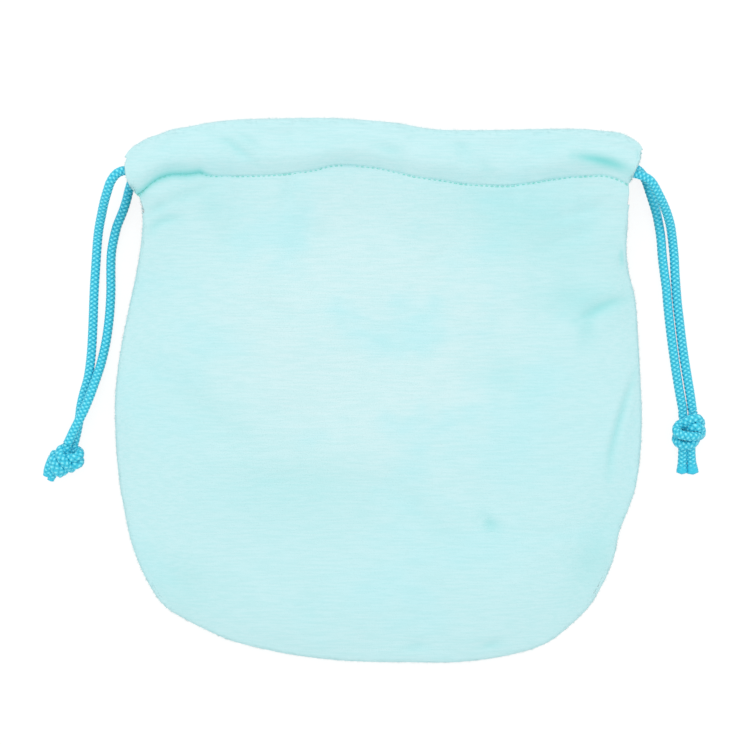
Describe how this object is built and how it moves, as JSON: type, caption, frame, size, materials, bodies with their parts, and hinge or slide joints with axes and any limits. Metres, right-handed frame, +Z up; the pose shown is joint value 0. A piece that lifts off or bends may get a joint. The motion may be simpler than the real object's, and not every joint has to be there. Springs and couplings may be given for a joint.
{
  "type": "drawstring pouch",
  "caption": "Flat plush drawstring pouch with a rounded bottom, a folded cord channel along its open top, and braided cords tied in knots at both sides.",
  "frame": {"origin": "on the ground under the middle of the pouch's body and channel, cords left out", "axes": "+Z up out of the front panel, +Y towards the mouth, +X to the right as seen from the front"},
  "size_m": [0.2445, 0.1988, 0.0192],
  "materials": {
    "plush": "matt short-pile plush, pale mint blue",
    "cord": "braided cord with a slight sheen, bright blue"
  },
  "bodies": {
    "root": {"front_panel": "plush", "back_panel": "plush", "left_cord": "cord", "right_cord": "cord", "left_knot": "cord", "right_knot": "cord"}
  },
  "joints": []
}
